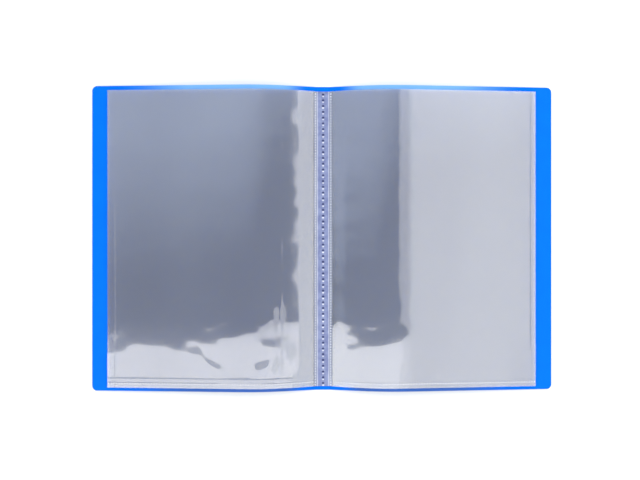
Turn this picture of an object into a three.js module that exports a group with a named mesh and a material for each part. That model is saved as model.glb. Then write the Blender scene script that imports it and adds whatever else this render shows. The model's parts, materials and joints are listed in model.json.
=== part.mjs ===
// A4 clear-pocket display book, lying open at its middle leaf.
//
// One polypropylene cover sheet (left panel, spine, right panel) holds a stack of clear film pockets that are
// welded along the gutter to a narrow strip on the spine. Each half rises from the spine to a soft crest and
// slopes down again to its outer edge on the table, so every sheet of a half is two flat strips that meet at
// the crest: a gutter side strip and an edge side strip.
//
// Millimetres. +X runs across the open book, +Y up the page towards the pocket mouths, +Z away from the table.
// The origin is the middle of the spine's underside.

import * as THREE from 'three';

// ---- Driving dimensions ----

const DEG = Math.PI / 180;

const COVER_HEIGHT = 310;
const COVER_THICKNESS = 0.8;
const COVER_HALF_WIDTH = 235;
const COVER_CORNER_RADIUS = 5;

const FOLD_DISTANCE = 7; // from the middle of the spine to each scored fold line
const SPINE_HALF_WIDTH = 6.7;
const PANEL_START = 0.7; // from the fold line to where the stiff panel begins

const INNER_SLOPE = 13.4 * DEG; // of the gutter side strips, upwards from the fold
const CREST_DISTANCE = 62; // from the middle of the spine to the crest of the cover

const LEAVES_PER_SIDE = 5;
const FILM_THICKNESS = 0.2;
const POCKET_SLIT = 0.3; // between the two films of one pocket
const LEAF_GAP = 0.3; // between one pocket and the next
const FILM_HALF_WIDTH = 219.5;
const FILM_BOTTOM = -151;
const FILM_TOP = 150;
const FILM_START = 3; // from the fold line to the gutter edge of the films

const STRIP_HALF_WIDTH = 6.3;
const STRIP_THICKNESS = 1.3;
const CLEARANCE = 0.3; // between pieces that touch or nearly touch

const BEND_BAND_WIDTH = 30; // the band of the turning leaf just before the crest
const CORNER_SEGMENTS = 6;

// ---- Worked-out geometry of one half (x away from the spine, z up) ----

const foldHeight = COVER_THICKNESS / 2;
const innerLength = (CREST_DISTANCE - FOLD_DISTANCE) / Math.cos(INNER_SLOPE);
const crestHeight = foldHeight + innerLength * Math.sin(INNER_SLOPE);

// The edge side strip slopes down just enough for its outer edge to touch the table.
const outerRun = COVER_HALF_WIDTH - CREST_DISTANCE;
const outerSlope = Math.atan((crestHeight - COVER_THICKNESS / 2) / outerRun);
const outerLength = outerRun / Math.cos(outerSlope);

// At the crest the strips stop short of the plane that halves the bend.
const crestTangent = Math.tan((INNER_SLOPE + outerSlope) / 2);
const innerEnd = (lowFace) => innerLength + lowFace * crestTangent - CLEARANCE;
const outerStart = (lowFace) => -lowFace * crestTangent + CLEARANCE;

const leafPitch = 2 * FILM_THICKNESS + POCKET_SLIT + LEAF_GAP;
const firstLeafLevel = COVER_THICKNESS / 2 + CLEARANCE;
const filmOuterEnd = (FILM_HALF_WIDTH - CREST_DISTANCE) / Math.cos(outerSlope);

// ---- Materials ----

function plastic(color, roughness) {
  return new THREE.MeshStandardMaterial({ color, roughness, metalness: 0 });
}

const coverMaterial = () => plastic(0x007dff, 0.5);
const stripMaterial = () => plastic(0xa8b4e0, 0.3);
const filmMaterial = () => {
  const material = plastic(0xb4bccc, 0.12);
  material.transparent = true;
  material.opacity = 0.35;
  return material;
};

// ---- Pieces ----

// A flat strip lying in a half's sloping frame: from and to run away from the spine, low and high are its faces.
function strip(name, material, side, { from, to, low, high, bottom, top }) {
  const geometry = new THREE.BoxGeometry(to - from, top - bottom, high - low);
  const mesh = new THREE.Mesh(geometry, material);
  mesh.name = name;
  mesh.position.set(side * (from + to) / 2, (bottom + top) / 2, (low + high) / 2);
  return mesh;
}

// The edge side of the cover, with its two outer corners rounded.
function coverEdgePanel(name, side, from, to) {
  const half = COVER_HEIGHT / 2;
  const radius = COVER_CORNER_RADIUS;
  const outline = new THREE.Shape();
  outline.moveTo(from, -half);
  outline.lineTo(to - radius, -half);
  outline.absarc(to - radius, -half + radius, radius, -Math.PI / 2, 0, false);
  outline.absarc(to - radius, half - radius, radius, 0, Math.PI / 2, false);
  outline.lineTo(from, half);
  outline.closePath();
  const geometry = new THREE.ExtrudeGeometry(outline, {
    depth: COVER_THICKNESS,
    bevelEnabled: false,
    curveSegments: CORNER_SEGMENTS,
  });
  geometry.translate(0, 0, -COVER_THICKNESS / 2);
  if (side < 0) geometry.rotateZ(Math.PI);
  const mesh = new THREE.Mesh(geometry, coverMaterial());
  mesh.name = name;
  return mesh;
}

function spine() {
  const group = new THREE.Group();
  group.add(strip('spine_panel', coverMaterial(), 1, {
    from: -SPINE_HALF_WIDTH, to: SPINE_HALF_WIDTH,
    low: 0, high: COVER_THICKNESS,
    bottom: -COVER_HEIGHT / 2, top: COVER_HEIGHT / 2,
  }));
  const stripLow = COVER_THICKNESS + CLEARANCE;
  group.add(strip('gutter_weld_strip', stripMaterial(), 1, {
    from: -STRIP_HALF_WIDTH, to: STRIP_HALF_WIDTH,
    low: stripLow, high: stripLow + STRIP_THICKNESS,
    bottom: FILM_BOTTOM, top: FILM_TOP,
  }));
  return group;
}

// The lower and upper film of one pocket, each as a gutter side strip and an edge side strip. The topmost leaf
// turns over to the other half and bends the other way there, so it also has a band of its own before the crest.
function addPocket(inner, outer, side, label, index) {
  const turns = index === LEAVES_PER_SIDE;
  const lowerLow = firstLeafLevel + (index - 1) * leafPitch;
  const films = {
    lower: lowerLow,
    upper: lowerLow + FILM_THICKNESS + POCKET_SLIT,
  };
  // The turning leaf bends about its own middle, and the others stop at the crest plane.
  const middle = lowerLow + FILM_THICKNESS + POCKET_SLIT / 2;
  for (const [which, low] of Object.entries(films)) {
    const face = { low, high: low + FILM_THICKNESS, bottom: FILM_BOTTOM, top: FILM_TOP };
    const name = `${label}_pocket_${index}_${which}_film`;
    const bendLevel = turns ? middle : low;
    let gutterEnd = innerEnd(bendLevel);
    if (turns) {
      inner.add(strip(`${name}_bend_band`, filmMaterial(), side,
        { ...face, from: gutterEnd - BEND_BAND_WIDTH, to: gutterEnd }));
      gutterEnd -= BEND_BAND_WIDTH + CLEARANCE;
    }
    inner.add(strip(`${name}_gutter_side`, filmMaterial(), side,
      { ...face, from: FILM_START, to: gutterEnd }));
    outer.add(strip(`${name}_edge_side`, filmMaterial(), side,
      { ...face, from: outerStart(bendLevel), to: filmOuterEnd }));
  }
}

function half(side, label) {
  const inner = new THREE.Group();
  inner.position.set(side * FOLD_DISTANCE, 0, foldHeight);
  inner.rotation.y = -side * INNER_SLOPE;
  const outer = new THREE.Group();
  outer.position.set(side * CREST_DISTANCE, 0, crestHeight);
  outer.rotation.y = side * outerSlope;

  const coverLow = -COVER_THICKNESS / 2;
  inner.add(strip(`${label}_cover_gutter_side`, coverMaterial(), side, {
    from: PANEL_START, to: innerEnd(coverLow),
    low: coverLow, high: coverLow + COVER_THICKNESS,
    bottom: -COVER_HEIGHT / 2, top: COVER_HEIGHT / 2,
  }));
  outer.add(coverEdgePanel(`${label}_cover_edge_side`, side, outerStart(coverLow), outerLength));

  for (let index = 1; index <= LEAVES_PER_SIDE; index += 1) {
    addPocket(inner, outer, side, label, index);
  }
  const group = new THREE.Group();
  group.add(inner, outer);
  return group;
}

const displayBook = new THREE.Group();
displayBook.add(spine(), half(-1, 'left'), half(1, 'right'));

export default displayBook;
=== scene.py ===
import json
import math

import bpy
import numpy as np
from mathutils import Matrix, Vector, noise


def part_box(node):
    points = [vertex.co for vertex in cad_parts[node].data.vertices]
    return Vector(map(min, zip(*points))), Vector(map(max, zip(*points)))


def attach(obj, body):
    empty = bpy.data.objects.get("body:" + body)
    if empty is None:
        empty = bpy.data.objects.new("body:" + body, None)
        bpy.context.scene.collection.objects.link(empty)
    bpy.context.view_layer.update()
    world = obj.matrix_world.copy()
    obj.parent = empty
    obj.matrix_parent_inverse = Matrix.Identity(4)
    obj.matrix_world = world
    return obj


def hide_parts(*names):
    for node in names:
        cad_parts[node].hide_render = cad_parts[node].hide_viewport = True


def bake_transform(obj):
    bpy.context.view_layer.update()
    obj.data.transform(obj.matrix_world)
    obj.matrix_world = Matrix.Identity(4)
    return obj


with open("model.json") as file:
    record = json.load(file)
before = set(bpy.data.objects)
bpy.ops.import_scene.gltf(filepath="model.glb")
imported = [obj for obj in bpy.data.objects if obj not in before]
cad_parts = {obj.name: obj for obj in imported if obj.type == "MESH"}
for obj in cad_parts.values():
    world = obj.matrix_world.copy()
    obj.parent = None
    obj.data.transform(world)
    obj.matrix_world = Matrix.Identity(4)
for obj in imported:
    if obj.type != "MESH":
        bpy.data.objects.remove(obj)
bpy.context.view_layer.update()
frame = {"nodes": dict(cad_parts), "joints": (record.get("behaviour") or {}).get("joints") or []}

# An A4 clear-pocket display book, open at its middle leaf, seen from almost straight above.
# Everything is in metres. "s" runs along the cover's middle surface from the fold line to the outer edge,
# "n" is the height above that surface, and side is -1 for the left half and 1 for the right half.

MM = 0.001
SIDES = {"left": -1, "right": 1}


# ---- What the frame says ----

def joint(name):
    return next(j for j in frame["joints"] if j["name"] == name)


def leaf_count():
    k = 1
    while f"right_pocket_{k + 1}_lower_film_gutter_side" in frame["nodes"]:
        k += 1
    return k


FOLD = joint("right_cover_fold")
FLEX = joint("right_cover_flex")
FOLD_X, _, FOLD_Z = FOLD["pos_m"]
CREST_X, _, CREST_Z = FLEX["pos_m"]
INNER_SLOPE = math.radians(90 + FOLD["range_deg"][0])
BEND = math.radians(-FLEX["range_deg"][0])
LEAVES = leaf_count()

COVER_LOW, COVER_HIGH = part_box("right_cover_edge_side")
FILM_LOW, FILM_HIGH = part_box(f"right_pocket_{LEAVES}_upper_film_edge_side")
SPINE_LOW, SPINE_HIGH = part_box("spine_panel")
STRIP_LOW, STRIP_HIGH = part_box("gutter_weld_strip")
COVER_THICKNESS = SPINE_HIGH.z - SPINE_LOW.z

# ---- Sizes of the visual sheets ----

FILM_THICKNESS = 0.10 * MM
POCKET_SLIT = 0.30 * MM
LEAF_PITCH = 0.95 * MM
STACK_BASE = COVER_THICKNESS / 2 + 0.12 * MM  # the level that the stack is pinched towards at the gutter
FIRST_LEAF = COVER_THICKNESS / 2 + 0.3 * MM
FILM_START = 3.0 * MM          # from the fold line to the gutter edge of the pockets
FILM_INSET = {"left": 1.8 * MM, "right": 3.0 * MM}  # how far short of the CAD films the pockets end
PANEL_START = 0.7 * MM         # from the fold line to where a cover panel begins
SHARP_ANGLE = math.radians(50)  # edges that turn by more than this are shaded sharp or bevelled
SOFT_REACH = 34 * MM           # half the length over which the cover and lower pockets bend at the crest
TOP_REACH = 14 * MM            # the same for the topmost leaf
EDGE_CURL = {"left": 0.5 * MM, "right": 0.0}  # how far a free edge curls up off the table


# ---- The bowed cross-section of one half ----

def smoothstep(t):
    t = np.clip(t, 0.0, 1.0)
    return t * t * (3 - 2 * t)


class Bow:
    """The line that a sheet of one half follows: up from the fold, round the crest, and down to the edge."""

    STEP = 0.25 * MM
    BEYOND_CREST = 250 * MM

    def __init__(self, reach):
        self.reach = reach
        middle = np.arange(-reach, reach, self.STEP) + self.STEP / 2
        lean = BEND / 2 - BEND * smoothstep((middle + reach) / (2 * reach))
        chord = float(np.sum(np.cos(lean)) * self.STEP)
        straight = chord / 2 / math.cos(BEND / 2)
        self.crest = self.corner_distance() - straight + reach
        self.s = np.arange(0.0, self.crest + self.BEYOND_CREST, self.STEP)
        step_slope = self.slope_at(self.s + self.STEP / 2)
        self.x = FOLD_X + np.concatenate([[0], np.cumsum(np.cos(step_slope) * self.STEP)[:-1]])
        self.z = FOLD_Z + np.concatenate([[0], np.cumsum(np.sin(step_slope) * self.STEP)[:-1]])

    @staticmethod
    def corner_distance():
        """From the fold to the sharp corner in the cover's middle surface, under the crest's hinge line."""
        along = (CREST_X - FOLD_X) * math.cos(INNER_SLOPE) + (CREST_Z - FOLD_Z) * math.sin(INNER_SLOPE)
        above = (CREST_Z - FOLD_Z) * math.cos(INNER_SLOPE) - (CREST_X - FOLD_X) * math.sin(INNER_SLOPE)
        return along - above * math.tan(BEND / 2)

    def slope_at(self, s):
        return INNER_SLOPE - BEND * smoothstep((s - self.crest + self.reach) / (2 * self.reach))

    def at(self, s, n):
        """x and z of points at distance s and height n."""
        slope = self.slope_at(np.asarray(s, float))
        x = np.interp(s, self.s, self.x) - n * np.sin(slope)
        z = np.interp(s, self.s, self.z) + n * np.cos(slope)
        return x, z

    def distance_at(self, x):
        """The distance s at which the cover's middle surface reaches x."""
        return float(np.interp(x, self.x, self.s))


SOFT = Bow(SOFT_REACH)
TOP = Bow(TOP_REACH)
COVER_END = SOFT.distance_at(COVER_HIGH.x)
FILM_END = {label: SOFT.distance_at(FILM_HIGH.x) - inset for label, inset in FILM_INSET.items()}

SEED_STEP = (7.31, -3.17, 1.93)  # moves each seed to a stretch of the noise of its own
WAVE_GAIN = 1.6                  # brings the noise up to about -1 to 1


def wave(x, y, seed, length_x, length_y):
    """Smooth noise from -1 to 1 over the page, the same each run."""
    shift_x, shift_y, layer = [seed * step for step in SEED_STEP]
    out = np.empty(x.shape)
    for i, (a, b) in enumerate(zip(x.ravel(), y.ravel())):
        out.flat[i] = noise.noise(Vector((a / length_x + shift_x, b / length_y + shift_y, layer)))
    return np.clip(out * WAVE_GAIN, -1, 1)


# ---- Mesh helpers ----

def new_object(name, vertices, faces, material):
    mesh = bpy.data.meshes.new(name)
    mesh.from_pydata([tuple(v) for v in vertices], [], faces)
    mesh.update()
    obj = bpy.data.objects.new(name, mesh)
    bpy.context.scene.collection.objects.link(obj)
    mesh.materials.append(material)
    for polygon in mesh.polygons:
        polygon.use_smooth = True
    return obj


def slab_faces(rows, columns, flip):
    """Faces of a closed slab made of a top grid and a bottom grid of rows by columns points."""
    count = rows * columns

    def at(layer, i, j):
        return layer * count + i * columns + j

    faces = []
    for i in range(rows - 1):
        for j in range(columns - 1):
            faces.append((at(0, i, j), at(0, i + 1, j), at(0, i + 1, j + 1), at(0, i, j + 1)))
            faces.append((at(1, i, j), at(1, i, j + 1), at(1, i + 1, j + 1), at(1, i + 1, j)))
    last = columns - 1
    for i in range(rows - 1):
        faces.append((at(0, i, 0), at(1, i, 0), at(1, i + 1, 0), at(0, i + 1, 0)))
        faces.append((at(0, i + 1, last), at(1, i + 1, last), at(1, i, last), at(0, i, last)))
    last = rows - 1
    for j in range(columns - 1):
        faces.append((at(0, 0, j + 1), at(1, 0, j + 1), at(1, 0, j), at(0, 0, j)))
        faces.append((at(0, last, j), at(1, last, j), at(1, last, j + 1), at(0, last, j + 1)))
    return [tuple(reversed(f)) for f in faces] if flip else faces


def closed_sheet(name, material, side, high, low, y):
    """A closed sheet between two surfaces: high and low are pairs of x and z grids, mirrored for side -1."""
    layers = [np.stack([side * x, y, z], axis=-1).reshape(-1, 3) for x, z in (high, low)]
    obj = new_object(name, np.concatenate(layers), slab_faces(*y.shape, flip=side < 0), material)
    obj.data.set_sharp_from_angle(angle=SHARP_ANGLE)
    return obj


def sheet_on_bow(name, material, side, bow, s, y, middle, thickness):
    """A sheet whose middle runs at height middle above the cover's middle surface."""
    high = bow.at(s, middle + thickness / 2)
    low = bow.at(s, middle - thickness / 2)
    return closed_sheet(name, material, side, high, low, y)


def grid(s_values, y_values):
    return np.meshgrid(s_values, y_values, indexing="ij")


def with_extra(values, centre, reach, count):
    """The values with closer spacing around centre, for narrow creases and ridges."""
    return np.unique(np.concatenate([values, np.linspace(centre - reach, centre + reach, count)]))


def blend_over_crest(obj, bow, start, end):
    """Bakes a sheet's transform into its mesh; the distances start to end along the bow are looked up, but
    nothing is bent.
    """
    x_start, z = bow.at(start, 0)
    x_end, _ = bow.at(end, 0)
    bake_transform(obj)


def vertex_value(obj, name, values):
    """Stores one number per vertex for a material to read."""
    attribute = obj.data.attributes.new(name, "FLOAT", "POINT")
    attribute.data.foreach_set("value", np.asarray(values, np.float32))


# ---- Materials ----

def principled(name):
    material = bpy.data.materials.new(name)
    material.use_nodes = True
    nodes = material.node_tree.nodes
    return material, nodes, material.node_tree.links, nodes["Principled BSDF"]


def noise_texture(nodes, links, scale, detail=4.0, stretch=(1, 1, 1)):
    coordinates = nodes.new("ShaderNodeTexCoord")
    mapping = nodes.new("ShaderNodeMapping")
    mapping.inputs["Scale"].default_value = stretch
    texture = nodes.new("ShaderNodeTexNoise")
    texture.inputs["Scale"].default_value = scale
    texture.inputs["Detail"].default_value = detail
    links.new(coordinates.outputs["Object"], mapping.inputs["Vector"])
    links.new(mapping.outputs["Vector"], texture.inputs["Vector"])
    return texture


def ramp(nodes, links, source, stops):
    """A colour ramp driven by a node's factor: stops are (position, colour)."""
    node = nodes.new("ShaderNodeValToRGB")
    elements = node.color_ramp.elements
    while len(elements) < len(stops):
        elements.new(0.5)
    for element, (position, colour) in zip(elements, stops):
        element.position = position
        element.color = (*colour, 1)
    links.new(source.outputs["Fac"], node.inputs["Fac"])
    return node


def vertex_source(nodes, name):
    node = nodes.new("ShaderNodeAttribute")
    node.attribute_name = name
    return node


def multiply(nodes, links, first, second):
    mix = nodes.new("ShaderNodeMix")
    mix.data_type = "RGBA"
    mix.blend_type = "MULTIPLY"
    mix.inputs["Factor"].default_value = 1.0
    links.new(first.outputs["Color"], mix.inputs["A"])
    links.new(second.outputs["Color"], mix.inputs["B"])
    return mix.outputs["Result"]


def add_bump(nodes, links, shader, texture, distance, strength=1.0):
    bump = nodes.new("ShaderNodeBump")
    bump.inputs["Distance"].default_value = distance
    bump.inputs["Strength"].default_value = strength
    links.new(texture.outputs["Fac"], bump.inputs["Height"])
    links.new(bump.outputs["Normal"], shader.inputs["Normal"])


def cover_plastic(name, with_painted_rim_light_and_shade):
    """Blue polypropylene with a fine matte grain; painted highlight on the panels' top rims, painted shade
    on their bottom rims.
    """
    material, nodes, links, shader = principled(name)
    mottle = noise_texture(nodes, links, scale=60, detail=3)
    if with_painted_rim_light_and_shade:
        # Painted light: the darker blue at 0 is painted shade on the raised bottom rim, 0.5 is the cover's
        # own blue, and the paler blue at 1 is a painted highlight on the raised top rim.
        rim_highlight_and_shade = ramp(nodes, links, vertex_source(nodes, "painted_rim_light_and_shade"),
                    [(0.0, (0.05, 0.14, 0.48)), (0.5, (0.0, 0.172, 0.86)), (1.0, (0.19, 0.45, 0.86))])
        shade = ramp(nodes, links, mottle, [(0.3, (0.93, 0.93, 0.95)), (0.7, (1.0, 1.0, 1.0))])
        links.new(multiply(nodes, links, rim_highlight_and_shade, shade), shader.inputs["Base Color"])
    else:
        colour = ramp(nodes, links, mottle, [(0.3, (0.0, 0.160, 0.80)), (0.7, (0.0, 0.172, 0.86))])
        links.new(colour.outputs["Color"], shader.inputs["Base Color"])
    grain = noise_texture(nodes, links, scale=2200, detail=2)
    add_bump(nodes, links, shader, grain, distance=0.05 * MM, strength=0.6)
    shader.inputs["Roughness"].default_value = 0.42
    shader.inputs["Specular IOR Level"].default_value = 0.05
    return material


def film(name, opacity, roughness, wavy):
    """Clear film: each face mirrors up to a tenth of what is above it and lets the rest through."""
    material, nodes, links, shader = principled(name)
    haze = noise_texture(nodes, links, scale=9, detail=1, stretch=(1.0, 0.25, 1.0))
    colour = ramp(nodes, links, haze, [(0.3, (0.90, 0.90, 0.91)), (0.7, (0.99, 0.99, 0.98))])
    links.new(colour.outputs["Color"], shader.inputs["Base Color"])
    if wavy:
        grain = noise_texture(nodes, links, scale=45, detail=3, stretch=(1.0, 0.5, 1.0))
        add_bump(nodes, links, shader, grain, distance=0.04 * MM, strength=0.5)
    shader.inputs["Metallic"].default_value = 0.9
    shader.inputs["Roughness"].default_value = roughness
    shader.inputs["Alpha"].default_value = opacity
    return material


def welded_film():
    """Film melted into a milky lavender band, with painted shade in the pressed dots and a painted highlight
    on the bead below each.
    """
    material, nodes, links, shader = principled("welded_film")
    lavender = (0.26, 0.30, 0.49)
    # White is the painted highlight on each bead (the paler margins reach partway to it), lavender is the
    # band's own colour, and near-black is painted shade in the pressed dots.
    dot_shade_bead_highlight_and_margin = ramp(nodes, links, vertex_source(nodes, "dot_shade_bead_highlight_and_margin"),
                 [(0.0, (1.0, 1.0, 1.0)), (0.45, lavender), (0.55, lavender), (1.0, (0.015, 0.02, 0.10))])
    cloud = noise_texture(nodes, links, scale=240, detail=4)
    shade = ramp(nodes, links, cloud, [(0.35, (0.66, 0.67, 0.78)), (0.65, (1.0, 1.0, 1.0))])
    links.new(multiply(nodes, links, dot_shade_bead_highlight_and_margin, shade), shader.inputs["Base Color"])
    grain = noise_texture(nodes, links, scale=900, detail=3)
    add_bump(nodes, links, shader, grain, distance=0.05 * MM, strength=0.6)
    shader.inputs["Roughness"].default_value = 0.25
    return material


def film_web():
    """Film drawn tight and slightly whitened between the weld and the pocket."""
    material, nodes, links, shader = principled("film_web")
    cloud = noise_texture(nodes, links, scale=120, detail=3, stretch=(1.0, 0.4, 1.0))
    colour = ramp(nodes, links, cloud, [(0.3, (0.50, 0.54, 0.70)), (0.7, (0.62, 0.66, 0.80))])
    links.new(colour.outputs["Color"], shader.inputs["Base Color"])
    shader.inputs["Metallic"].default_value = 0.4
    shader.inputs["Roughness"].default_value = 0.2
    shader.inputs["Alpha"].default_value = 0.5
    return material


def weld_bead():
    """Whitened film in the dots of a welded seam."""
    material, nodes, links, shader = principled("weld_bead")
    cloud = noise_texture(nodes, links, scale=500, detail=2)
    colour = ramp(nodes, links, cloud, [(0.3, (0.75, 0.78, 0.84)), (0.7, (0.95, 0.96, 1.0))])
    links.new(colour.outputs["Color"], shader.inputs["Base Color"])
    shader.inputs["Roughness"].default_value = 0.2
    return material


COVER = cover_plastic("cover_plastic", with_painted_rim_light_and_shade=True)
SPINE_COVER = cover_plastic("spine_plastic", with_painted_rim_light_and_shade=False)
FILM = film("pocket_film", opacity=0.081, roughness=0.10, wavy=False)
TOP_FILM = film("pocket_film_top", opacity=0.10, roughness=0.06, wavy=True)
WELDED = welded_film()
WEB = film_web()
BEAD = weld_bead()


# ---- Cover ----

CORNER_RADIUS = 5 * MM
RIM_BEVEL = 0.25 * MM
RIM_SHARE = 0.94               # the mesh is finer beyond this share of the cover's half height
CURL_START = 0.62 * COVER_END  # where a free edge begins to curl up
RIM_WIDTH = 7 * MM             # the painted rim shading begins this far from the edge
RIM_FADE = 4 * MM              # and is full this much nearer to it
RAISED_FROM = 3 * MM           # it begins where the cover stands this high off the table
RAISED_FADE = 6 * MM           # and is full this much higher
SKIN_OVERLAP = 0.4 * MM        # how far a fold skin runs into the spine and into the panel
SKIN_HALF_THICKNESS = 0.15 * MM


def edge_lift(label, s):
    """The free edge of a half may curl up off the table."""
    return EDGE_CURL[label] * smoothstep((s - CURL_START) / (COVER_END - CURL_START)) ** 2


def painted_rim_light_and_shade(y, z):
    """Painted light on the cover: 0.5 on most of a panel, 1 (painted highlight) on the raised stretch of its
    top rim, 0 (painted shade) on that of its bottom rim.
    """
    raised = smoothstep((z - RAISED_FROM) / RAISED_FADE)
    rim = COVER_HIGH.y - RIM_WIDTH
    return 0.5 + 0.5 * raised * (smoothstep((y - rim) / RIM_FADE) - smoothstep((-y - rim) / RIM_FADE))


def build_cover_half(label, side):
    """One cover panel, bowed over the crest, with its two outer corners rounded."""
    corner_start = COVER_END - CORNER_RADIUS
    s_values = np.concatenate([
        np.linspace(PANEL_START, corner_start, 72),
        corner_start + CORNER_RADIUS * np.sin(np.linspace(0, math.pi / 2, 9)[1:]),
    ])
    rim = np.linspace(RIM_SHARE, 1, 10)
    across = np.unique(np.concatenate([-rim, np.linspace(-RIM_SHARE, RIM_SHARE, 57), rim]))
    half_height = (COVER_HIGH.y - COVER_LOW.y) / 2
    s, v = grid(s_values, across)
    past = np.clip(s - corner_start, 0, CORNER_RADIUS)
    y = v * (half_height - CORNER_RADIUS + np.sqrt(np.maximum(CORNER_RADIUS ** 2 - past ** 2, 0)))
    obj = sheet_on_bow(f"{label}_cover", COVER, side, SOFT, s, y, edge_lift(label, s), COVER_THICKNESS)
    points = np.array([v.co for v in obj.data.vertices])
    # Store the painted highlight and painted shade of the raised rims for the cover material.
    vertex_value(obj, "painted_rim_light_and_shade", painted_rim_light_and_shade(points[:, 1], points[:, 2]))
    bevel = obj.modifiers.new("rounded_edge", "BEVEL")
    bevel.width = RIM_BEVEL
    bevel.segments = 2
    bevel.angle_limit = SHARP_ANGLE
    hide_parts(f"{label}_cover_gutter_side", f"{label}_cover_edge_side")
    blend_over_crest(obj, SOFT,
                     SOFT.crest - SOFT_REACH, SOFT.crest + SOFT_REACH)


def build_spine():
    """The narrow flat panel between the two fold lines."""
    x, y = grid(np.linspace(SPINE_LOW.x, SPINE_HIGH.x, 15), np.linspace(SPINE_LOW.y, SPINE_HIGH.y, 61))
    high, low = [(x, np.full(x.shape, z)) for z in (SPINE_HIGH.z, SPINE_LOW.z)]
    obj = closed_sheet("spine", SPINE_COVER, 1, high, low, y)
    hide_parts("spine_panel")
    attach(obj, "spine")


def build_fold_skin(label, side):
    """The thin scored web that joins the spine to a cover panel."""
    x_start = SPINE_HIGH.x - SKIN_OVERLAP
    x_end, z_end = SOFT.at(PANEL_START + SKIN_OVERLAP, 0)
    t, y = grid(np.linspace(0, 1, 9), np.linspace(COVER_LOW.y, COVER_HIGH.y, 41))
    x = x_start + (x_end - x_start) * t
    z = FOLD_Z + (z_end - FOLD_Z) * smoothstep(t)
    high, low = (x, z + SKIN_HALF_THICKNESS), (x, z - SKIN_HALF_THICKNESS)
    obj = closed_sheet(f"{label}_fold_skin", SPINE_COVER, side, high, low, y)
    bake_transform(obj)


# ---- Pockets ----

PINCH = 0.5                    # the share of its height that the stack keeps at the welded gutter
PINCH_LENGTH = 16 * MM
BULGE_HEIGHT = 0.45 * MM       # the topmost leaf stands up this far between the gutter and the crest
RIPPLE_HEIGHT = 0.85 * MM      # the most that the topmost leaf ripples
UNEVENNESS = 0.05 * MM         # each film also rises and falls by this much on its own
SEAM_OFFSET = 4.6 * MM         # from the lower edge of a film to its bottom seam
SEAM_Y = FILM_LOW.y + SEAM_OFFSET
SEAM_PITCH = 2.7 * MM
BUCKLE_OFFSET = 9 * MM         # from the lower edge to where the film buckles above the seam
CREASES = {                    # the topmost leaf's creases up the page: distance s, height and half width
    "left": [(38 * MM, 0.05 * MM, 1.2 * MM), (FILM_END["left"] - 8 * MM, 0.40 * MM, 0.45 * MM)],
    "right": [(FILM_END["right"] - 5.5 * MM, 0.30 * MM, 0.45 * MM)],
}
SEAM_RIDGES = {                # its ridges along the bottom: offset from the edge, height and half width
    "left": [(BUCKLE_OFFSET, 0.32 * MM, 1.3 * MM), (SEAM_OFFSET, 0.15 * MM, 0.9 * MM)],
    "right": [(BUCKLE_OFFSET, 0.10 * MM, 1.3 * MM), (SEAM_OFFSET, 0.10 * MM, 0.9 * MM)],
}
PUCKERS = {                    # its soft folds: height, half width, and points x, y along each in mm
    "left": [
        (0.50 * MM, 6 * MM, [(-127, -118), (-98, -141), (-72, -143), (-52, -124)]),
        (0.50 * MM, 9 * MM, [(-66, -76), (-56, -77)]),
    ],
    "right": [(0.30 * MM, 3 * MM, [(119, -128), (118, -140)])],
}
CALM = 0.12                    # the share of the ripple that is left where the film lies calm
SEAM_HOLD = 0.2                # the share of it that is left at the bottom seam


def page_ripple(side, s, y):
    """How far the loose film stands up, 0 to 1: mostly near the bottom and the gutter, less at the seam."""
    # The rippled part starts this far below the middle of the page, and lower towards the outer edge.
    low_start = 45 * MM + 45 * MM * smoothstep((s - 110 * MM) / (50 * MM))
    low_part = smoothstep((-y - low_start) / (40 * MM))
    near_gutter = 0.5 * (1 - smoothstep((s - 10 * MM) / (40 * MM)))
    amount = CALM + (1 - CALM) * np.maximum(low_part, near_gutter)
    broad = wave(s, y, 3 + side, 36 * MM, 27 * MM)
    fine = wave(s, y, 8 + side, 19 * MM, 13 * MM)
    held = SEAM_HOLD + (1 - SEAM_HOLD) * smoothstep((y - SEAM_Y) / (16 * MM))
    return held * amount * (0.5 + 0.30 * broad + 0.20 * fine)


def bulge(s):
    """0 to 1: up from the gutter, a little down before the crest, and all the way down beyond it."""
    rise = smoothstep((s - FILM_START) / PINCH_LENGTH)
    fall = 0.2 * smoothstep((s - 18 * MM) / (38 * MM)) + 0.8 * smoothstep((s - 54 * MM) / (56 * MM))
    return rise * (1 - fall)


def leaf_level(k, which):
    """The height that a film keeps over most of the page."""
    return FIRST_LEAF + (k - 1) * LEAF_PITCH + (FILM_THICKNESS + POCKET_SLIT if which == "upper" else 0)


def film_height(label, side, k, which, s, y):
    """The height of a film's middle above the cover's middle surface."""
    pinch = PINCH + (1 - PINCH) * smoothstep((s - FILM_START) / PINCH_LENGTH)
    own = wave(s, y, 11 * k + (5 if which == "upper" else 2) + side, 60 * MM, 90 * MM)
    loose = (RIPPLE_HEIGHT * page_ripple(side, s, y) + BULGE_HEIGHT * bulge(s)) * k / LEAVES
    level = STACK_BASE + (leaf_level(k, which) - STACK_BASE) * pinch
    return level + loose + edge_lift(label, s) + UNEVENNESS * (own + 1)


def crease_height(label, s, y):
    """The topmost leaf's creases up the page and the ridges along its bottom seam."""
    height = np.zeros(s.shape)
    for where, crease, width in CREASES[label]:
        height = np.maximum(height, crease * np.exp(-((s - where) / width) ** 2))
    for where, ridge, width in SEAM_RIDGES[label]:
        height = np.maximum(height, ridge * np.exp(-((y - FILM_LOW.y - where) / width) ** 2))
    return height


def distance_to_line(x, y, points):
    """The distance from each place to a line through the points."""
    nearest = np.full(x.shape, np.inf)
    for (x0, y0), (x1, y1) in zip(points, points[1:]):
        dx, dy = x1 - x0, y1 - y0
        t = np.clip(((x - x0) * dx + (y - y0) * dy) / (dx * dx + dy * dy), 0, 1)
        nearest = np.minimum(nearest, np.hypot(x - x0 - t * dx, y - y0 - t * dy))
    return nearest


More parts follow.
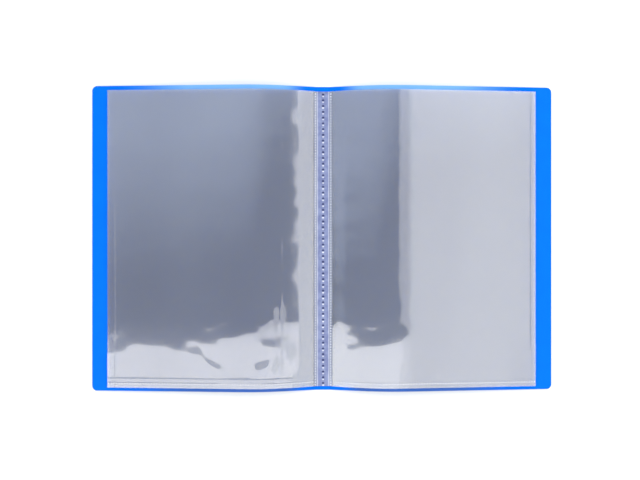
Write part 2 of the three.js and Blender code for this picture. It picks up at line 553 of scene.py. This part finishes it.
def pucker_height(label, side, s, y):
    """The topmost leaf's soft folds."""
    height = np.zeros(s.shape)
    x = side * TOP.at(s, 0)[0]
    for pucker, width, points in PUCKERS[label]:
        distance = distance_to_line(x / MM, y / MM, points) * MM
        height = np.maximum(height, pucker * np.exp(-(distance / width) ** 2))
    return height


def top_leaf_relief(label, side, s, y):
    """All that stands up on the topmost leaf only."""
    return crease_height(label, s, y) + pucker_height(label, side, s, y)


def build_lower_pockets(label, side):
    """The pockets that stay with their half: two films each, gutter to outer edge."""
    near_gutter = np.linspace(FILM_START, 22 * MM, 12)
    s_values = np.concatenate([near_gutter, np.linspace(25 * MM, FILM_END[label], 52)])
    s, y = grid(s_values, np.linspace(FILM_LOW.y, FILM_HIGH.y, 66))
    for k in range(1, LEAVES):
        for which in ("lower", "upper"):
            node = f"{label}_pocket_{k}_{which}_film"
            height = film_height(label, side, k, which, s, y)
            obj = sheet_on_bow(f"{node}_sheet", FILM, side, SOFT, s, y, height, FILM_THICKNESS)
            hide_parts(f"{node}_gutter_side", f"{node}_edge_side")
            blend_over_crest(obj, SOFT,
                             SOFT.crest - SOFT_REACH, SOFT.crest + SOFT_REACH)


def top_leaf_parts(label):
    """For each part: its distances s, the two bodies and the stretch it bends over, and its CAD strips."""
    crest = TOP.crest
    edge_values = np.linspace(crest, FILM_END[label], 90)
    for where, _, width in CREASES[label]:
        if where > crest:
            edge_values = with_extra(edge_values, where, 3 * width, 15)
    near_gutter = np.linspace(FILM_START, 22 * MM, 20)
    gutter_values = np.concatenate([near_gutter, np.linspace(23.5 * MM, crest, 28)])
    inner, band, outer = [f"{label}_leaf_{part}" for part in ("gutter_side", "bend_band", "edge_side")]
    inner_strips = ["gutter_side", "bend_band"]
    return {
        "gutter_side": (gutter_values, inner, band, crest - TOP_REACH, crest, inner_strips),
        "edge_side": (edge_values, band, outer, crest, crest + TOP_REACH, ["edge_side"]),
    }


def build_top_leaf(label, side):
    """The leaf that turns: a gutter side and an edge side that meet at the crest, each with its seam."""
    ridge_middle = FILM_LOW.y + 7 * MM
    y_values = with_extra(np.linspace(FILM_LOW.y, FILM_HIGH.y, 151), ridge_middle, 6 * MM, 31)
    for part, (s_values, body_a, body_b, start, end, strips) in top_leaf_parts(label).items():
        s, y = grid(s_values, y_values)
        for which in ("lower", "upper"):
            node = f"{label}_pocket_{LEAVES}_{which}_film"
            height = film_height(label, side, LEAVES, which, s, y) + top_leaf_relief(label, side, s, y)
            obj = sheet_on_bow(f"{node}_{part}_sheet", TOP_FILM, side, TOP, s, y, height, FILM_THICKNESS)
            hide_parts(*[f"{node}_{strip}" for strip in strips])
            blend_over_crest(obj, TOP, start, end)
        seam = build_bottom_seam(label, side, part, s_values[0], s_values[-1])
        blend_over_crest(seam, TOP, start, end)


# ---- Welded seams ----

BEAD_SINK = 0.03 * MM          # how far a bead reaches into the film below it
BOTTOM_BEAD = (0.75 * MM, 0.22 * MM)    # radius and height
GUTTER_BEAD = (0.65 * MM, 0.30 * MM)


def bead_row(name, material, centres, radius, height):
    """A row of small closed domes, one at each centre."""
    sides = 8
    rings = [(radius, 0), (0.75 * radius, 0.7 * height)]
    vertices, faces = [], []
    for x, y, z in centres:
        first = len(vertices)
        for ring_radius, ring_z in rings:
            for i in range(sides):
                angle = 2 * math.pi * i / sides
                across, along = ring_radius * math.cos(angle), ring_radius * math.sin(angle)
                vertices.append((x + across, y + along, z + ring_z))
        vertices.append((x, y, z + height))
        apex = len(vertices) - 1
        faces.append(tuple(first + i for i in reversed(range(sides))))
        for i in range(sides):
            j = (i + 1) % sides
            faces.append((first + i, first + j, first + sides + j, first + sides + i))
            faces.append((first + sides + i, first + sides + j, apex))
    return new_object(name, vertices, faces, material)


def build_bottom_seam(label, side, part, s_start, s_end):
    """The dotted seam along the bottom of the topmost leaf."""
    count = int((s_end - s_start) / SEAM_PITCH)
    s = s_start + (np.arange(count) + 0.5) * (s_end - s_start) / count
    y = np.full(count, SEAM_Y)
    height = film_height(label, side, LEAVES, "upper", s, y) + top_leaf_relief(label, side, s, y)
    x, z = TOP.at(s, height + FILM_THICKNESS / 2)
    centres = zip(side * x, y, z - BEAD_SINK)
    obj = bead_row(f"{label}_pocket_{LEAVES}_bottom_seam_{part}", BEAD, centres, *BOTTOM_BEAD)
    return obj


# ---- Gutter ----

DOT_PITCH = 5.85 * MM
DOT_RADIUS = 1.4 * MM
DOT_STRETCH = 1.3              # a dot is this much wider across the strip than along it
DOT_FLAT = 0.35                # the share of its radius over which its floor is flat
DOT_DEPTH = 0.55 * MM
DOT_ROWS = 16                  # mesh rows per dot
BEAD_DROP = 2.0 * MM           # from the middle of a dot to the bead below it, which has a painted highlight
BEAD_RADIUS = 1.0 * MM
BEAD_STRETCH = 1.4
BEAD_FLAT = 0.3 * MM
BEAD_HEIGHT = 0.25 * MM
STRIP_SETBACK = 0.3 * MM       # how far the strip's plain surface lies below the CAD strip's top
MARGIN_START = 5.0 * MM        # the outer margins of the strip are paler
MARGIN_FADE = 0.5 * MM
MARGIN_TONE = 0.22
WEB_START = STRIP_HIGH.x + 0.1 * MM
TOP_WEB_START = (8.4 * MM, 3.35 * MM)   # x and z where the topmost leaf's web begins, beside the strip
WEB_OVERLAP = 0.2 * MM         # how far a web runs in between the two films of its pocket
WEB_HALF_THICKNESS = (0.05 * MM, 0.20 * MM)   # at the strip and at the pocket
GUTTER_SEAM_X = 8.0 * MM
GUTTER_SEAM_PITCH = 2.75 * MM


def build_gutter_strip():
    """The milky band that holds every pocket, with a row of pressed weld dots down its middle."""
    height = STRIP_HIGH.y - STRIP_LOW.y
    dots = round(height / DOT_PITCH)
    y_values = np.linspace(STRIP_LOW.y, STRIP_HIGH.y, dots * DOT_ROWS + 1)
    x, y = grid(np.linspace(STRIP_LOW.x, STRIP_HIGH.x, 43), y_values)
    along = (y - STRIP_LOW.y) / height * dots
    from_dot = (along - np.floor(along) - 0.5) * height / dots
    distance = np.hypot(x / DOT_STRETCH, from_dot)
    dot = 1 - smoothstep((distance / DOT_RADIUS - DOT_FLAT) / (1 - DOT_FLAT))
    bead_distance = np.hypot(x / BEAD_STRETCH, from_dot + BEAD_DROP)
    bead = 1 - smoothstep((bead_distance - BEAD_FLAT) / (BEAD_RADIUS - BEAD_FLAT))
    top = STRIP_HIGH.z - STRIP_SETBACK - DOT_DEPTH * dot + BEAD_HEIGHT * bead
    obj = closed_sheet("gutter_strip", WELDED, 1, (x, top), (x, np.full(x.shape, STRIP_LOW.z)), y)
    margin = smoothstep((np.abs(x) - MARGIN_START) / MARGIN_FADE)
    # Toward 1 in the dots for painted shade, toward 0 on the beads for a painted highlight, and lower at the
    # paler margins.
    dot_shade_bead_highlight_and_margin = np.clip(0.5 + 0.5 * dot - 0.5 * bead - MARGIN_TONE * margin, 0, 1).ravel()
    vertex_value(obj, "dot_shade_bead_highlight_and_margin", np.concatenate([dot_shade_bead_highlight_and_margin, np.full(dot_shade_bead_highlight_and_margin.shape, 0.5)]))
    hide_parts("gutter_weld_strip")
    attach(obj, "spine")


def pocket_mouth(label, side, k, y):
    """Where the two films of leaf k come together at the gutter: x and z for each y."""
    s = np.full(y.shape, FILM_START)
    heights = [film_height(label, side, k, which, s, y) for which in ("lower", "upper")]
    return SOFT.at(s, (heights[0] + heights[1]) / 2)


def web_level(k):
    """The height at which the web of leaf k leaves the side of the strip."""
    return STRIP_LOW.z + k * (STRIP_HIGH.z - STRIP_LOW.z) / LEAVES


def web_half_thickness(t):
    """Half the thickness of a web at the share t of its way from the strip to the pocket."""
    thin, thick = WEB_HALF_THICKNESS
    return thin + (thick - thin) * t


def build_web(name, label, side, k, start):
    """The two films of leaf k, fused into one web, from start out to the pocket."""
    t, y = grid(np.linspace(0, 1, 13), np.linspace(FILM_LOW.y, FILM_HIGH.y, 76))
    x_end, z_end = pocket_mouth(label, side, k, y)
    x = start[0] + (x_end + WEB_OVERLAP - start[0]) * t
    z = start[1] + (z_end - start[1]) * t
    half = web_half_thickness(t)
    obj = closed_sheet(name, WEB, side, (x, z + half), (x, z - half), y)
    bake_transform(obj)


def build_gutter_webs(label, side):
    """The fused webs of the lower leaves, and the topmost leaf's web, which starts at its own place beside
    the strip.
    """
    for k in range(1, LEAVES):
        start = (WEB_START, web_level(k))
        build_web(f"{label}_pocket_{k}_web", label, side, k, start)
    build_web(f"{label}_pocket_{LEAVES}_web", label, side, LEAVES, TOP_WEB_START)


def build_gutter_seam(label, side):
    """The dotted seam beside the strip, on the web of the uppermost pocket that stays."""
    count = int((FILM_HIGH.y - FILM_LOW.y) / GUTTER_SEAM_PITCH)
    y = FILM_LOW.y + (np.arange(count) + 0.5) * GUTTER_SEAM_PITCH
    x_end, z_end = pocket_mouth(label, side, LEAVES - 1, y)
    t = (GUTTER_SEAM_X - WEB_START) / (x_end + WEB_OVERLAP - WEB_START)
    z_start = web_level(LEAVES - 1)
    z = z_start + (z_end - z_start) * t + web_half_thickness(t)
    centres = zip(np.full(count, side * GUTTER_SEAM_X), y, z - BEAD_SINK)
    obj = bead_row(f"{label}_gutter_seam", BEAD, centres, *GUTTER_BEAD)
    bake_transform(obj)


# ---- Stage, lights and camera ----

FLOOR_HALF_WIDTH = 6.0
FLOOR_DROP = 0.2 * MM          # the floor lies this far below the cover, so that the two don't coincide
CAMERA_DISTANCE = 0.75
CAMERA_YAW = math.radians(0.93)
CAMERA_TARGET = Vector((-3.1 * MM, -1.7 * MM, 0))
SENSOR_WIDTH_MM = 36
LENS_MM = 41.15


def build_stage():
    """The plain pale floor."""
    corners = [(-1, -1), (1, -1), (1, 1), (-1, 1)]
    vertices = [(x * FLOOR_HALF_WIDTH, y * FLOOR_HALF_WIDTH, 0) for x, y in corners]
    mesh = bpy.data.meshes.new("floor")
    mesh.from_pydata(vertices, [], [(0, 1, 2, 3)])
    floor = bpy.data.objects.new("floor", mesh)
    floor.location.z = -FLOOR_DROP
    material, _, _, shader = principled("pale_floor")
    shader.inputs["Base Color"].default_value = (0.92, 0.92, 0.92, 1)
    shader.inputs["Roughness"].default_value = 0.9
    shader.inputs["Specular IOR Level"].default_value = 0.1
    mesh.materials.append(material)
    bpy.context.scene.collection.objects.link(floor)


def area_light(name, location, size, power, seen_in_gloss):
    """A soft rectangular light that faces straight down: metres and watts."""
    data = bpy.data.lights.new(name, "AREA")
    data.shape = "RECTANGLE"
    data.size, data.size_y = size
    data.energy = power
    light = bpy.data.objects.new(name, data)
    light.location = location
    light.visible_glossy = seen_in_gloss
    bpy.context.scene.collection.objects.link(light)


def build_world():
    """A grey studio that turns brighter and bluer up the page, and a little towards the left."""
    world = bpy.data.worlds.new("studio")
    bpy.context.scene.world = world
    world.use_nodes = True
    nodes, links = world.node_tree.nodes, world.node_tree.links
    coordinates = nodes.new("ShaderNodeTexCoord")
    along = nodes.new("ShaderNodeVectorMath")
    along.operation = "DOT_PRODUCT"
    along.inputs[1].default_value = (-0.20, 1.0, 0.0)
    brightness = nodes.new("ShaderNodeMapRange")
    brightness.inputs["From Min"].default_value = 0.03
    brightness.inputs["From Max"].default_value = 0.22
    colour = nodes.new("ShaderNodeValToRGB")
    colour.color_ramp.elements[0].color = (0.20, 0.215, 0.22, 1)
    colour.color_ramp.elements[1].color = (0.45, 0.51, 0.60, 1)
    links.new(coordinates.outputs["Generated"], along.inputs[0])
    links.new(along.outputs["Value"], brightness.inputs["Value"])
    links.new(brightness.outputs["Result"], colour.inputs["Fac"])
    links.new(colour.outputs["Color"], nodes["Background"].inputs["Color"])


def build_lights():
    """An overhead light and a fill that gloss doesn't show, and two softboxes that the film mirrors."""
    area_light("overhead", location=(0, 0, 1.6), size=(2.4, 2.4), power=25, seen_in_gloss=False)
    area_light("right_softbox", location=(0.65, 0, 0.6), size=(0.8, 2.0), power=3.3, seen_in_gloss=True)
    area_light("front_softbox", location=(0, -0.53, 0.6), size=(2.0, 0.7), power=4.2, seen_in_gloss=True)
    area_light("back_fill", location=(0, 0.85, 0.5), size=(1.6, 0.5), power=5.0, seen_in_gloss=False)


def build_camera():
    """The camera, and enough transparent bounces for light to pass the whole stack of films."""
    scene = bpy.context.scene
    data = bpy.data.cameras.new("camera")
    data.sensor_width = SENSOR_WIDTH_MM
    data.lens = LENS_MM
    camera = bpy.data.objects.new("camera", data)
    away = Vector((-math.sin(CAMERA_YAW), 0, math.cos(CAMERA_YAW)))
    camera.location = CAMERA_TARGET + CAMERA_DISTANCE * away
    camera.rotation_euler = (0, -CAMERA_YAW, 0)
    scene.collection.objects.link(camera)
    scene.camera = camera
    scene.view_settings.view_transform = "Standard"
    scene.cycles.transparent_max_bounces = 200
    scene.cycles.max_bounces = 6
    scene.cycles.diffuse_bounces = 2
    scene.cycles.glossy_bounces = 4


# ---- Build ----

build_camera()
build_stage()
build_world()
build_lights()
build_spine()
build_gutter_strip()
for half_label, half_side in SIDES.items():
    build_cover_half(half_label, half_side)
    build_fold_skin(half_label, half_side)
    build_gutter_webs(half_label, half_side)
    build_gutter_seam(half_label, half_side)
    build_lower_pockets(half_label, half_side)
    build_top_leaf(half_label, half_side)
